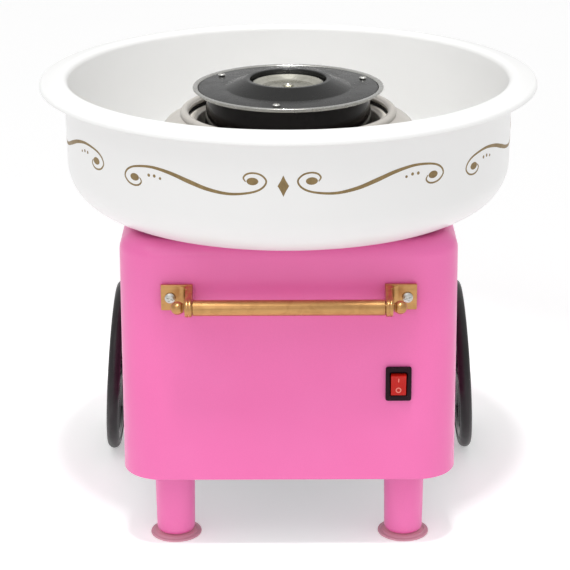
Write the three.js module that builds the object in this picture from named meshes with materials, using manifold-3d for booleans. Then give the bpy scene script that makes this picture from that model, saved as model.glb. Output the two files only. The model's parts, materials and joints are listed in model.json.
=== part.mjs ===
// A table-top cotton candy machine: a cart-shaped body on two legs and two spoked wheels,
// with a push bar, a rocker switch, a spinning extractor head and a lift-off bowl.
// Millimetres. +Z is up, the front faces -Y, and the origin is on the bowl's axis at floor level.

import * as THREE from 'three';
import { mergeVertices } from 'three/addons/utils/BufferGeometryUtils.js';
import Module from 'manifold-3d';

const wasm = await Module();
wasm.setup();

// ---------------------------------------------------------------- driving dimensions

const GAP = 0.3;
const PLAY = 0.5;

const BODY = { width: 200, depth: 190, bottom: 48, top: 197, corner: 24, shoulder: 9, wall: 2.5, hole: 30 };
const BASE = { thickness: 2, bottom: 48, screwX: 84, screwY: 80, boss: 5, screwHole: 1.9, screwDepth: 16,
  slot: 4, slotLength: 40, slotY: 20, slotPitch: 9 };
const LEG = { x: 70, y: -65, topRadius: 12.25, bottomRadius: 11.7, foot: 2.3, roundness: 3 };
const PAD = { radius: 15.6, thickness: 2 };

const BOWL = { rim: 150, top: 275, wall: 135, bottom: 198.3, thickness: 2.4, corner: 26, lipInner: 137.5,
  lipRound: 5, lipEdge: 3, lipDrop: 5.5, hole: 86.5, collar: 9 };
const HOUSING = { radius: 84, skirtTop: 232, shoulder: 74, shoulderTop: 244.5, ring: 63.1, ringTop: 253,
  ringTube: 2.6, ledge: 245, floor: 223, cup: 54, wall: 2 };
const HEAD = { disc: 54.5, top: 266, sheet: 1.2, coneBase: 38.2, mouth: 23.2, coneHeight: 5.2, plate: 57.9,
  plateHole: 30, drum: 49.2, drumFoot: 52.2, drumBottom: 235, drumWall: 1.6, web: 246, screwCircle: 49.5,
  screwRadius: 2.2, dishFloor: 265.6, dishDepth: 3 };
const HEATER = { inner: 26, outer: 46, thickness: 3, coil: 38, wire: 2 };
const SHAFT = { radius: 3, top: 262, hub: 12 };
const FAN = { radius: 28, bottom: 184, height: 7, blades: 6 };
const MOTOR = { radius: 21, round: 3, nose: 8, bottom: 130, top: 175, cap: 6, plate: 84, sheet: 2, mount: 33,
  bush: 5 };
const TERMINALS = { x: -40, y: 60, width: 36, depth: 14, height: 12, pitch: 11, well: 3 };
const CUT_OUT = { x: 62, radius: 6, height: 8 };

const BAR = { radius: 4.6, spigot: 3, half: 55.1, y: -112, z: 163.7 };
const BRACKET = { width: 18.5, height: 15.5, thickness: 2.6, outer: 74, z: 164.9, eye: 5.4, eyeFrom: 55.4,
  eyeTo: 59.5 };
const FINIAL = { from: 60.3, neck: 2.4, neckLength: 0.3, ball: 3.9 };
const BRACKET_SCREW = { x: 68.6, radius: 3.1, head: 1.6, shank: 1.6, length: 12 };

const SWITCH = { x: 64.2, z: 110.2, width: 15.2, height: 21.2, proud: 1.8, windowWidth: 10,
  windowHeight: 14.6, depth: 14, tilt: 8, pivot: 3 };
const GLAND = { x: -50, z: 75, radius: 9, bore: 3.5, proud: 9, flange: 3 };

const WHEEL = { x: 114.5, y: 75, radius: 56.5, halfWidth: 4, camber: 3.65, rimOuter: 50.2, rimInner: 45.6,
  rimHalf: 3.4, hub: 9, hubHalf: 3.6, bore: 3.8, spoke: 2, spokes: 12, capRadius: 7.4, capEdge: 4.6,
  capDome: 1.4 };
const AXLE = { radius: 3.5, flange: 8, inside: 8 };

const ROUND = 32;

// ---------------------------------------------------------------- helpers

function toSolid(geometry) {
  const bare = geometry.clone();
  bare.deleteAttribute('normal');
  bare.deleteAttribute('uv');
  const merged = mergeVertices(bare, 1e-4);
  const index = merged.index.array;
  const triangles = [];
  for (let i = 0; i < index.length; i += 3) {
    const [a, b, c] = [index[i], index[i + 1], index[i + 2]];
    if (a !== b && b !== c && c !== a) triangles.push(a, b, c);
  }
  const mesh = new wasm.Mesh({
    numProp: 3,
    vertProperties: Float32Array.from(merged.attributes.position.array),
    triVerts: Uint32Array.from(triangles),
  });
  return new wasm.Manifold(mesh);
}

function toGeometry(solid) {
  const mesh = solid.getMesh();
  const geometry = new THREE.BufferGeometry();
  geometry.setAttribute('position', new THREE.BufferAttribute(Float32Array.from(mesh.vertProperties), 3));
  geometry.setIndex(new THREE.BufferAttribute(Uint32Array.from(mesh.triVerts), 1));
  geometry.computeVertexNormals();
  return geometry;
}

function join(geometries) {
  return toGeometry(geometries.map(toSolid).reduce((sum, next) => sum.add(next)));
}

function cut(geometry, tools) {
  return toGeometry(tools.map(toSolid).reduce((left, tool) => left.subtract(tool), toSolid(geometry)));
}

// A body of revolution about Z. The profile is a list of [radius, height] points that starts and
// ends on the axis, or is closed when its last point repeats its first.
function turned(profile, segments = ROUND) {
  let area = 0;
  profile.forEach(([r, z], i) => {
    const [nextR, nextZ] = profile[(i + 1) % profile.length];
    area += r * nextZ - nextR * z;
  });
  const ordered = area > 0 ? profile : [...profile].reverse();
  const points = ordered.map(([r, z]) => new THREE.Vector2(r, z));
  return new THREE.LatheGeometry(points, segments).rotateX(Math.PI / 2);
}

function closed(profile) {
  return [...profile, profile[0]];
}

function rod(radius, from, to, segments = 16) {
  return turned([[0, from], [radius, from], [radius, to], [0, to]], segments);
}

function pipe(inner, outer, from, to, segments = ROUND) {
  return turned(closed([[inner, from], [outer, from], [outer, to], [inner, to]]), segments);
}

// Points of an arc in the (radius, height) plane, by degrees.
function arc(r, z, radiusR, radiusZ, from, to, steps) {
  return Array.from({ length: steps + 1 }, (_, i) => {
    const angle = THREE.MathUtils.degToRad(from + ((to - from) * i) / steps);
    return [r + radiusR * Math.cos(angle), z + radiusZ * Math.sin(angle)];
  });
}

function box(width, depth, height, x = 0, y = 0, z = 0) {
  return new THREE.BoxGeometry(width, depth, height).translate(x, y, z);
}

function roundedRectangle(width, depth, radius) {
  const x = width / 2 - radius;
  const y = depth / 2 - radius;
  const shape = new THREE.Shape();
  shape.absarc(x, y, radius, 0, Math.PI / 2);
  shape.absarc(-x, y, radius, Math.PI / 2, Math.PI);
  shape.absarc(-x, -y, radius, Math.PI, 1.5 * Math.PI);
  shape.absarc(x, -y, radius, 1.5 * Math.PI, 2 * Math.PI);
  return shape;
}

function slab(shape, from, to, curveSegments = 8) {
  const options = { depth: to - from, curveSegments, bevelEnabled: false };
  return new THREE.ExtrudeGeometry(shape, options).translate(0, 0, from);
}

function add(parent, name, geometry, color, roughness, metalness) {
  const mesh = new THREE.Mesh(geometry, new THREE.MeshStandardMaterial({ color, roughness, metalness }));
  mesh.name = name;
  parent.add(mesh);
  return mesh;
}

const SIDES = [{ side: 'left', sign: -1 }, { side: 'right', sign: 1 }];
const CORNERS = [[-1, -1], [1, -1], [1, 1], [-1, 1]];

const machine = new THREE.Group();

// ---------------------------------------------------------------- cart body

const bodyFront = -BODY.depth / 2;
const bodyBack = BODY.depth / 2;

// A rounded block whose top edge is rounded as far as the inset leaves it.
function bodyBlock(inset, top, bottom) {
  const round = BODY.shoulder - inset;
  const outline = roundedRectangle(BODY.width - 2 * inset, BODY.depth - 2 * inset, BODY.corner - inset);
  return new THREE.ExtrudeGeometry(outline, {
    depth: top - bottom - 2 * round,
    curveSegments: 5,
    bevelThickness: round,
    bevelSize: round,
    bevelOffset: -round,
    bevelSegments: 3,
  }).translate(0, 0, bottom + round);
}

const wheelHeight = (WHEEL.radius - WHEEL.halfWidth) * Math.cos(THREE.MathUtils.degToRad(WHEEL.camber))
  + WHEEL.halfWidth;
const innerTop = BODY.top - BODY.wall;
const belowBody = BODY.shoulder * 2;

function bodyShell() {
  const outer = bodyBlock(0, BODY.top, BODY.bottom - belowBody);
  const inner = bodyBlock(BODY.wall, innerTop, BODY.bottom - 2 * belowBody);
  const below = box(2 * BODY.width, 2 * BODY.depth, belowBody, 0, 0, BODY.bottom - belowBody / 2);
  const boss = rod(BASE.boss, BASE.bottom + BASE.thickness + GAP, innerTop + GAP, 12);
  const bosses = CORNERS.map(([i, j]) => boss.clone().translate(i * BASE.screwX, j * BASE.screwY, 0));
  const drill = rod(BASE.screwHole, BASE.bottom, BASE.bottom + BASE.screwDepth, 12);
  const screwHoles = CORNERS.map(([i, j]) => drill.clone().translate(i * BASE.screwX, j * BASE.screwY, 0));
  const airHole = rod(BODY.hole, innerTop - 1, BODY.top + 1, ROUND);
  const switchHole = box(SWITCH.width - 2, 10, SWITCH.height - 2, SWITCH.x, bodyFront, SWITCH.z);
  const glandHole = rod(GLAND.radius - 2, -5, 5).rotateX(Math.PI / 2).translate(GLAND.x, bodyBack, GLAND.z);
  const barHoles = SIDES.map(({ sign }) => rod(BRACKET_SCREW.shank + PLAY, -5, 5, 12)
    .rotateX(Math.PI / 2).translate(sign * BRACKET_SCREW.x, bodyFront, BRACKET.z));
  const axleHoles = SIDES.map(({ sign }) => rod(AXLE.radius + 2 * PLAY, -6, 6)
    .rotateY(Math.PI / 2).translate(sign * BODY.width / 2, WHEEL.y, axleHeightAtWall()));
  const skin = cut(outer, [inner, below]);
  const holes = [airHole, switchHole, glandHole, ...barHoles, ...axleHoles, ...screwHoles];
  return cut(join([skin, ...bosses]), holes);
}

// The axle slopes with the camber, so it crosses the side wall lower than the wheel's centre.
function axleHeightAtWall() {
  const slope = Math.tan(THREE.MathUtils.degToRad(WHEEL.camber));
  return wheelHeight - (WHEEL.x - BODY.width / 2) * slope;
}

add(machine, 'body_shell', bodyShell(), 0xf070b4, 0.35, 0);

function basePlate() {
  const inset = BODY.wall + GAP;
  const outline = roundedRectangle(BODY.width - 2 * inset, BODY.depth - 2 * inset, BODY.corner - inset);
  const plate = slab(outline, BASE.bottom, BASE.bottom + BASE.thickness);
  const drill = rod(BASE.screwHole, BASE.bottom - 1, BASE.bottom + BASE.thickness + 1, 12);
  const holes = CORNERS.map(([i, j]) => drill.clone().translate(i * BASE.screwX, j * BASE.screwY, 0));
  const slots = [-3, -2, -1, 0, 1, 2, 3].map((i) => box(BASE.slot, BASE.slotLength, 3 * BASE.thickness,
    i * BASE.slotPitch, BASE.slotY, BASE.bottom + BASE.thickness / 2));
  return cut(plate, [...holes, ...slots]);
}

add(machine, 'base_plate', basePlate(), 0xb8b8bc, 0.5, 0.6);

// A pan-head screw along -Z with its head's underside at height 0.
function panScrew(headRadius, headHeight, shankRadius, length, segments = 10) {
  const dome = arc(headRadius - headHeight, 0, headHeight, headHeight, 0, 90, 2);
  return turned([[0, -length], [shankRadius, -length], [shankRadius, 0], ...dome, [0, headHeight]], segments);
}

CORNERS.forEach(([i, j], n) => {
  const screw = add(machine, `base_screw_${n + 1}`, panScrew(3, 1.6, 1.5, 12), 0xc8c8c8, 0.3, 1);
  screw.rotation.x = Math.PI;
  screw.position.set(i * BASE.screwX, j * BASE.screwY, BASE.bottom - GAP);
});

// ---------------------------------------------------------------- front legs

SIDES.forEach(({ side, sign }) => {
  const round = arc(LEG.bottomRadius - LEG.roundness, LEG.foot + LEG.roundness, LEG.roundness, LEG.roundness,
    -90, 0, 3);
  const legTop = BASE.bottom - GAP;
  const leg = turned([[0, LEG.foot], ...round, [LEG.topRadius, legTop], [0, legTop]], 24);
  add(machine, `front_${side}_leg`, leg, 0xf070b4, 0.35, 0).position.set(sign * LEG.x, LEG.y, 0);
  const pad = turned([[0, 0], [PAD.radius, 0], [PAD.radius, 1], [PAD.radius - 1.4, PAD.thickness],
    [0, PAD.thickness]], 24);
  add(machine, `front_${side}_foot_pad`, pad, 0xc58a98, 0.4, 0).position.set(sign * LEG.x, LEG.y, 0);
});

// ---------------------------------------------------------------- push bar

const plateBack = bodyFront - GAP;
const plateFront = plateBack - BRACKET.thickness;

// A lathe part laid along X: its height axis becomes +X.
function alongX(geometry) {
  return geometry.rotateY(Math.PI / 2);
}

const barEnd = BRACKET.eyeTo + GAP;
const bar = alongX(turned([[0, -barEnd], [BAR.spigot, -barEnd], [BAR.spigot, -BAR.half],
  [BAR.radius, -BAR.half], [BAR.radius, BAR.half], [BAR.spigot, BAR.half], [BAR.spigot, barEnd],
  [0, barEnd]], 20));
add(machine, 'push_bar', bar, 0xa98a45, 0.35, 0.9).position.set(0, BAR.y, BAR.z);

// The bracket for the +X side: a wall plate, an arm that narrows towards the bar, and an eye. Its
// own origin is level with the middle of the plate, and the bar hangs a little lower.
function bracket() {
  const barDrop = BAR.z - BRACKET.z;
  const plate = box(BRACKET.width, BRACKET.thickness, BRACKET.height,
    BRACKET.outer - BRACKET.width / 2, plateBack - BRACKET.thickness / 2, 0);
  const side = new THREE.Shape();
  side.moveTo(-plateFront - 1, -BRACKET.height / 2);
  side.lineTo(-BAR.y, barDrop - BRACKET.eye);
  side.lineTo(-BAR.y, barDrop + BRACKET.eye);
  side.lineTo(-plateFront - 1, BRACKET.height / 2);
  side.closePath();
  const eyeWidth = BRACKET.eyeTo - BRACKET.eyeFrom;
  const arm = new THREE.ExtrudeGeometry(side, { depth: eyeWidth, bevelEnabled: false })
    .rotateX(Math.PI / 2).rotateZ(-Math.PI / 2).rotateX(Math.PI / 2);
  arm.computeBoundingBox();
  const { min } = arm.boundingBox;
  arm.translate(BRACKET.eyeFrom - min.x, BAR.y - min.y, -BRACKET.height / 2 - min.z);
  const eye = alongX(rod(BRACKET.eye, BRACKET.eyeFrom, BRACKET.eyeTo, 20)).translate(0, BAR.y, barDrop);
  const bore = alongX(rod(BAR.spigot + GAP, BRACKET.eyeFrom - 1, BRACKET.eyeTo + 1))
    .translate(0, BAR.y, barDrop);
  const screwHole = rod(BRACKET_SCREW.shank + GAP, -5, 5, 12).rotateX(Math.PI / 2)
    .translate(BRACKET_SCREW.x, plateFront, 0);
  return cut(join([plate, arm, eye]), [bore, screwHole]);
}

SIDES.forEach(({ side, sign }) => {
  const holder = add(machine, `${side}_bar_bracket`, bracket(), 0xa98a45, 0.4, 0.9);
  holder.position.z = BRACKET.z;
  if (sign < 0) holder.geometry = toGeometry(toSolid(holder.geometry).mirror([1, 0, 0]));
  const ballCentre = FINIAL.from + FINIAL.neckLength + FINIAL.ball * 0.8;
  const ball = arc(0, ballCentre, FINIAL.ball, FINIAL.ball, -53, 90, 5);
  const finial = alongX(turned([[0, FINIAL.from], [FINIAL.neck, FINIAL.from], ...ball], 14));
  const finialMesh = add(machine, `${side}_ball_finial`, finial, 0xa98a45, 0.3, 0.9);
  finialMesh.rotation.z = sign > 0 ? 0 : Math.PI;
  finialMesh.position.set(0, BAR.y, BAR.z);
  const { radius, head: headHeight, shank, length } = BRACKET_SCREW;
  const screw = add(machine, `${side}_bracket_screw`, panScrew(radius, headHeight, shank, length),
    0xd0d0d0, 0.25, 1);
  screw.rotation.x = Math.PI / 2;
  screw.position.set(sign * BRACKET_SCREW.x, plateFront - GAP, BRACKET.z);
});

// ---------------------------------------------------------------- rocker switch

const bezelFront = bodyFront - GAP - SWITCH.proud;

function switchHousing() {
  const flange = box(SWITCH.width, SWITCH.proud, SWITCH.height, 0, bodyFront - GAP - SWITCH.proud / 2, 0);
  const block = box(SWITCH.width - 3, SWITCH.depth, SWITCH.height - 3, 0,
    bodyFront - GAP + SWITCH.depth / 2 - 0.1, 0);
  const window = box(SWITCH.windowWidth, 10, SWITCH.windowHeight, 0, bezelFront + 10 / 2 - 1, 0);
  return cut(join([flange, block]), [window]);
}

const switchGroup = new THREE.Group();
switchGroup.position.set(SWITCH.x, 0, SWITCH.z);
machine.add(switchGroup);
add(switchGroup, 'switch_housing', switchHousing(), 0x181818, 0.45, 0);

// The rocker is a bar whose face is a shallow V, so that one half is flush while the other stands out.
function rocker() {
  const half = SWITCH.windowHeight / 2 - PLAY - 0.3;
  const rise = half * Math.tan(THREE.MathUtils.degToRad(SWITCH.tilt));
  const side = new THREE.Shape();
  side.moveTo(-SWITCH.pivot, 0);
  side.lineTo(0, -half);
  side.lineTo(SWITCH.pivot + rise, -half);
  side.lineTo(SWITCH.pivot, 0);
  side.lineTo(SWITCH.pivot + rise, half);
  side.lineTo(0, half);
  side.closePath();
  const width = SWITCH.windowWidth - 2 * PLAY;
  const block = new THREE.ExtrudeGeometry(side, { depth: width, bevelEnabled: false });
  block.translate(0, 0, -width / 2);
  block.applyMatrix4(new THREE.Matrix4().makeBasis(new THREE.Vector3(0, -1, 0), new THREE.Vector3(0, 0, 1),
    new THREE.Vector3(-1, 0, 0)));
  return block;
}

const rockerMesh = add(switchGroup, 'switch_rocker', rocker(), 0xd8281c, 0.3, 0);
rockerMesh.position.y = bezelFront + SWITCH.pivot;
rockerMesh.rotation.x = THREE.MathUtils.degToRad(SWITCH.tilt);

// ---------------------------------------------------------------- mains inlet gland

function gland() {
  const nose = bodyBack + GAP + GLAND.proud;
  const nut = bodyBack - BODY.wall - GAP;
  const clamp = GLAND.radius - 2 - GAP;
  return turned(closed([[GLAND.bore, nut - 8], [clamp, nut - 8], [clamp, bodyBack + GAP],
    [GLAND.radius, bodyBack + GAP], [GLAND.radius, bodyBack + GAP + GLAND.flange],
    [GLAND.radius - GLAND.flange, nose], [GLAND.bore, nose]]), 20);
}

const glandMesh = add(machine, 'mains_inlet_gland', gland(), 0x202020, 0.6, 0);
glandMesh.rotation.x = -Math.PI / 2;
glandMesh.position.set(GLAND.x, 0, GLAND.z);

// ---------------------------------------------------------------- drive inside the body

function motorBracket() {
  const plate = slab(roundedRectangle(MOTOR.plate, MOTOR.plate, 8), MOTOR.top + GAP,
    MOTOR.top + GAP + MOTOR.sheet, 3);
  const eye = rod(MOTOR.nose, MOTOR.top - 1, MOTOR.top + 5);
  const holes = CORNERS.map(([i, j]) => rod(2, MOTOR.top - 1, MOTOR.top + 5, 8)
    .translate(i * MOTOR.mount, j * MOTOR.mount, 0));
  return cut(plate, [eye, ...holes]);
}

// The shaft's end turns in a blind well in the motor's top.
const wellFloor = MOTOR.top - MOTOR.nose;

function motorCan() {
  const { radius, round, bottom, top } = MOTOR;
  return turned([[0, bottom], [radius, bottom], ...arc(radius - round, top - round, round, round, 0, 90, 3),
    [SHAFT.radius + PLAY, top], [SHAFT.radius + PLAY, wellFloor], [0, wellFloor]], 24);
}

const endCap = rod(MOTOR.radius - 1, MOTOR.bottom - GAP - MOTOR.cap, MOTOR.bottom - GAP, 24);
add(machine, 'motor_can', motorCan(), 0x9a9a9e, 0.35, 1);
add(machine, 'motor_end_cap', endCap, 0x303030, 0.6, 0);
add(machine, 'motor_bracket', motorBracket(), 0xb8b8bc, 0.4, 1);
CORNERS.forEach(([i, j], n) => {
  const from = MOTOR.top + 2 * GAP + MOTOR.sheet;
  const bush = turned([[0, from], [MOTOR.bush, from], [MOTOR.bush - 1.2, (from + innerTop) / 2],
    [MOTOR.bush, innerTop - GAP], [0, innerTop - GAP]], 12);
  add(machine, `motor_bush_${n + 1}`, bush, 0x252525, 0.9, 0)
    .position.set(i * MOTOR.mount, j * MOTOR.mount, 0);
});

function terminalBlock() {
  const { x, y, width, depth, height, pitch, well } = TERMINALS;
  const foot = BASE.bottom + BASE.thickness + GAP;
  const block = box(width, depth, height, x, y, foot + height / 2);
  const wells = [-1, 0, 1].map((i) => rod(well, foot + height / 2, foot + height + 1, 12)
    .translate(x + pitch * i, y, 0));
  return cut(block, wells);
}

add(machine, 'terminal_block', terminalBlock(), 0xe8e4d8, 0.5, 0);
const cutOut = rod(CUT_OUT.radius, innerTop - GAP - CUT_OUT.height, innerTop - GAP);
add(machine, 'thermal_cut_out', cutOut.translate(CUT_OUT.x, 0, 0), 0xc8c8c8, 0.4, 1);

// ---------------------------------------------------------------- heater and its housing

// The housing stands on the body: a straight skirt, a sloping shoulder, a rolled ring, a ledge below
// the ring, and a deep cup that the head turns in.
function heaterHousing() {
  const { radius, skirtTop, shoulder, shoulderTop, ring, ringTop, ringTube } = HOUSING;
  const { ledge, floor, cup, wall } = HOUSING;
  const ringHeight = ringTop - ringTube;
  const foot = BODY.top + GAP;
  const shaftHole = SHAFT.radius + 5;
  const outside = [[radius, foot], [radius, skirtTop], [radius - 1.5, skirtTop + 4], [shoulder, shoulderTop],
    [ring + ringTube + 0.6, ringHeight - 2.2]];
  const roll = arc(ring, ringHeight, ringTube, ringTube, -20, 200, 5);
  const inside = [[ring - 1.4, ledge], [cup + 1.6, ledge], [cup, floor + 3], [cup - 3, floor],
    [shaftHole, floor]];
  const underside = [[shaftHole, floor - wall], [cup - 2.2, floor - wall], [cup + wall, floor + 1.6],
    [cup + 1.6 + wall, ledge - wall], [ring + 1, ledge - wall], [shoulder - 1, shoulderTop - 2.7],
    [radius - 1.5 - wall, skirtTop + 2.5], [radius - wall, skirtTop - 1], [radius - wall, foot]];
  return turned(closed([...outside, ...roll, ...inside, ...underside]), ROUND);
}

add(machine, 'heater_housing', heaterHousing(), 0xa9a6a0, 0.5, 0.2);

const carrierBottom = HOUSING.floor + GAP;
const carrierTop = carrierBottom + HEATER.thickness;
const carrier = pipe(HEATER.inner, HEATER.outer, carrierBottom, carrierTop, 24);
add(machine, 'heater_carrier', carrier, 0xeae6dc, 0.8, 0);

function heaterRing() {
  const tube = arc(HEATER.coil, carrierTop + GAP + HEATER.wire, HEATER.wire, HEATER.wire, 0, 360, 6);
  return turned(tube, 24);
}

add(machine, 'heater_element', heaterRing(), 0x6a5f58, 0.5, 0.8);

// ---------------------------------------------------------------- spindle: shaft, drive hub and fan

const spindle = new THREE.Group();
machine.add(spindle);

const shaftBottom = wellFloor + GAP;
add(spindle, 'motor_shaft', rod(SHAFT.radius, shaftBottom, SHAFT.top, 16), 0xc8c8cc, 0.25, 1);

// A flanged sleeve on the shaft that carries the head.
const hubTop = HEAD.web - GAP;
const hubBore = SHAFT.radius + GAP;
const sleeve = 7;
const driveHub = turned(closed([[hubBore, hubTop - 12], [sleeve, hubTop - 12], [sleeve, hubTop - 3],
  [SHAFT.hub, hubTop - 3], [SHAFT.hub, hubTop], [hubBore, hubTop]]), 20);
add(spindle, 'drive_hub', driveHub, 0xb0b0b4, 0.35, 1);

function coolingFan() {
  const boss = pipe(SHAFT.radius + GAP, sleeve, FAN.bottom, FAN.bottom + FAN.height, 16);
  const root = sleeve - 1;
  const bladeLength = FAN.radius - root;
  const blades = Array.from({ length: FAN.blades }, (_, i) => box(bladeLength, 1.4, FAN.height)
    .translate(root + bladeLength / 2, 0, 0)
    .rotateX(THREE.MathUtils.degToRad(35))
    .translate(0, 0, FAN.bottom + FAN.height / 2)
    .rotateZ((2 * Math.PI * i) / FAN.blades));
  return join([boss, ...blades]);
}

add(spindle, 'cooling_fan', coolingFan(), 0x3a3a3a, 0.6, 0);

// ---------------------------------------------------------------- extractor head

const head = new THREE.Group();
machine.add(head);

const screwAngles = [-98, 22, 146];

function onScrewCircle(geometry, angle) {
  const turn = THREE.MathUtils.degToRad(angle);
  return geometry.translate(HEAD.screwCircle * Math.cos(turn), HEAD.screwCircle * Math.sin(turn), 0);
}

// Drills for the screws that pass down through a sheet whose top is at this height.
function headScrewHoles(top) {
  const clearance = 1.4;
  return screwAngles.map((angle) => onScrewCircle(rod(clearance, top - 4, top + 1, 12), angle));
}

const discBottom = HEAD.top - HEAD.sheet;
const coverTop = HEAD.top + HEAD.coneHeight;

// The cover: a flat ring that rises to a blunt cone with a rolled mouth.
function coverDisc() {
  const { disc, top, sheet, coneBase, mouth } = HEAD;
  const lip = mouth + 1.8;
  const throat = mouth - 1.4;
  const profile = closed([[throat, top], [throat, discBottom], [mouth, discBottom],
    [mouth + sheet, coverTop - sheet - 1], [lip, coverTop - sheet - 0.6], [coneBase - 1.8, discBottom],
    [disc, discBottom], [disc, top], [coneBase, top], [lip + 1, coverTop - 0.6], [lip, coverTop],
    [mouth + 0.6, coverTop], [mouth, coverTop - 0.7], [mouth - 0.4, top + 0.4]]);
  return cut(turned(profile, ROUND), headScrewHoles(top));
}

add(head, 'cover_disc', coverDisc(), 0x5c5c5c, 0.35, 0.6);

const plateTop = discBottom - GAP;
const plateSheet = 1;

// The plate under the cover, with a stepped-up flange that frames the cover's edge.
function rimPlate() {
  const { plate, plateHole, disc, top } = HEAD;
  const low = plateTop - plateSheet;
  const step = disc + GAP;
  const flange = top - 0.6;
  const profile = closed([[plateHole, low], [step + plateSheet, low], [step + plateSheet, flange],
    [plate, flange], [plate, flange + plateSheet], [step, flange + plateSheet], [step, plateTop],
    [plateHole, plateTop]]);
  return cut(turned(profile, ROUND), headScrewHoles(plateTop));
}

add(head, 'rim_plate', rimPlate(), 0xc9c9c9, 0.25, 1);

// The drum: a flared wall with a web across it that stands on the drive hub, and screw bosses under
// its turned-in top edge.
function drum() {
  const top = plateTop - plateSheet - GAP;
  const { drum: radius, drumFoot, drumBottom, drumWall: wall, web } = HEAD;
  const flange = radius - 7;
  const eye = SHAFT.radius + 1;
  return turned(closed([[eye, web], [radius - 1 - wall, web], [drumFoot - wall, drumBottom],
    [drumFoot, drumBottom], [radius, top], [flange, top], [flange, top - wall], [radius - wall, top - wall],
    [radius - wall - 0.4, web + wall], [eye, web + wall]]));
}

add(head, 'head_drum', drum(), 0x141414, 0.2, 0.3);

// The sugar dish: a shallow pan on a hollow stem that fits over the shaft's end.
function sugarDish() {
  const web = HEAD.web + HEAD.drumWall + GAP;
  const radius = HEAD.mouth - 1.4 - GAP;
  const floor = HEAD.dishFloor;
  const bore = SHAFT.radius + PLAY;
  const edge = floor + HEAD.dishDepth;
  return turned([[0, SHAFT.top + 1], [bore, SHAFT.top + 1], [bore, web], [sleeve, web], [sleeve, floor - 1.8],
    [radius - 4, floor - 1.2], [radius, edge - 0.6], [radius - 1, edge], [radius - 4.8, floor],
    [0, floor]], 24);
}

add(head, 'sugar_dish', sugarDish(), 0xbdbdb8, 0.35, 0.9);

function dishNut() {
  const foot = HEAD.dishFloor + GAP;
  const flange = 3.4;
  const height = 1.1;
  return turned([[0, foot], [flange, foot], [flange, foot + height],
    ...arc(0, foot + height, flange - 1, height, 0, 90, 3)], 12);
}

add(head, 'dish_nut', dishNut(), 0x8a8a8a, 0.4, 1);

screwAngles.forEach((angle, n) => {
  const screw = panScrew(HEAD.screwRadius, 1.2, 1.05, 2.4).translate(0, 0, HEAD.top + GAP);
  add(head, `head_screw_${n + 1}`, onScrewCircle(screw, angle), 0xd8d8d8, 0.2, 1);
});

// ---------------------------------------------------------------- bowl

// A round bowl with a rounded foot, a turned-out lip with a dropped edge, and a collar round the
// centre hole.
function bowl() {
  const { rim, top, wall, bottom, thickness, corner } = BOWL;
  const { lipInner, lipRound, lipEdge, lipDrop, hole, collar } = BOWL;
  const seat = BODY.top + GAP;
  const outside = [[hole, seat], [hole + 4, seat], [hole + 5.5, bottom],
    ...arc(wall - corner, bottom + corner, corner, corner, -90, 0, 4),
    ...arc(wall + lipEdge + GAP, top - thickness - lipEdge, lipEdge, lipEdge, 180, 90, 2),
    [rim - thickness, top - thickness], [rim - thickness, top - lipDrop], [rim, top - lipDrop]];
  const lip = [...arc(rim - lipEdge, top - lipEdge, lipEdge, lipEdge, 0, 90, 3),
    ...arc(lipInner, top - lipRound, lipRound, lipRound, 90, 180, 3)];
  const inner = corner - thickness;
  const inside = [...arc(wall - corner, bottom + corner, inner, inner, 0, -90, 4),
    [hole + thickness + 1, bottom + thickness], [hole + thickness, bottom + collar], [hole, bottom + collar]];
  return turned(closed([...outside, ...lip, ...inside]), 48);
}

add(machine, 'bowl', bowl(), 0xf4f4f4, 0.3, 0);

// ---------------------------------------------------------------- cart wheels

function tyre() {
  const { radius, halfWidth, rimOuter } = WHEEL;
  const foot = rimOuter + GAP;
  const tread = arc(radius - halfWidth, 0, halfWidth, halfWidth, -90, 90, 6);
  return turned(closed([[foot, -halfWidth], ...tread, [foot, halfWidth]]), ROUND);
}

function spokedWheel() {
  const { rimInner, rimOuter, rimHalf, hub, hubHalf, bore, spoke, spokes } = WHEEL;
  const chamfer = 1.2;
  const rim = turned(closed([[rimInner + 1, -rimHalf], [rimOuter, -rimHalf], [rimOuter, rimHalf],
    [rimInner + 1, rimHalf], [rimInner, rimHalf - chamfer], [rimInner, chamfer - rimHalf]]));
  const centre = turned(closed([[bore, -hubHalf], [hub - chamfer, -hubHalf], [hub, chamfer - hubHalf],
    [hub, hubHalf - chamfer], [hub - chamfer, hubHalf], [bore, hubHalf]]), 20);
  const root = hub - 2;
  const bars = Array.from({ length: spokes }, (_, i) => rod(spoke, root, rimInner + 2, 6)
    .rotateY(Math.PI / 2).rotateZ((2 * Math.PI * i) / spokes));
  return join([rim, centre, ...bars]);
}

function hubCap() {
  const { capRadius, capEdge, capDome, hubHalf } = WHEEL;
  const dome = arc(0, capEdge, capRadius - 1, capDome, 0, 90, 4);
  return turned([[0, hubHalf + GAP], [capRadius, hubHalf + GAP], [capRadius, capEdge], ...dome], 20);
}

// A stepped stub that passes through the side wall, with a flange outside it.
function axleStub() {
  const tilt = Math.sin(THREE.MathUtils.degToRad(WHEEL.camber)) * AXLE.flange;
  const wallDistance = WHEEL.x - BODY.width / 2;
  const inEnd = -wallDistance - AXLE.inside;
  const flangeFrom = -wallDistance + GAP + tilt;
  const flangeTo = -WHEEL.hubHalf - GAP;
  return turned([[0, inEnd], [AXLE.radius, inEnd], [AXLE.radius, flangeFrom], [AXLE.flange, flangeFrom],
    [AXLE.flange, flangeFrom + 3], [AXLE.radius + 1.5, flangeTo], [AXLE.radius, flangeTo],
    [AXLE.radius, WHEEL.hubHalf], [0, WHEEL.hubHalf]], 16);
}

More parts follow.
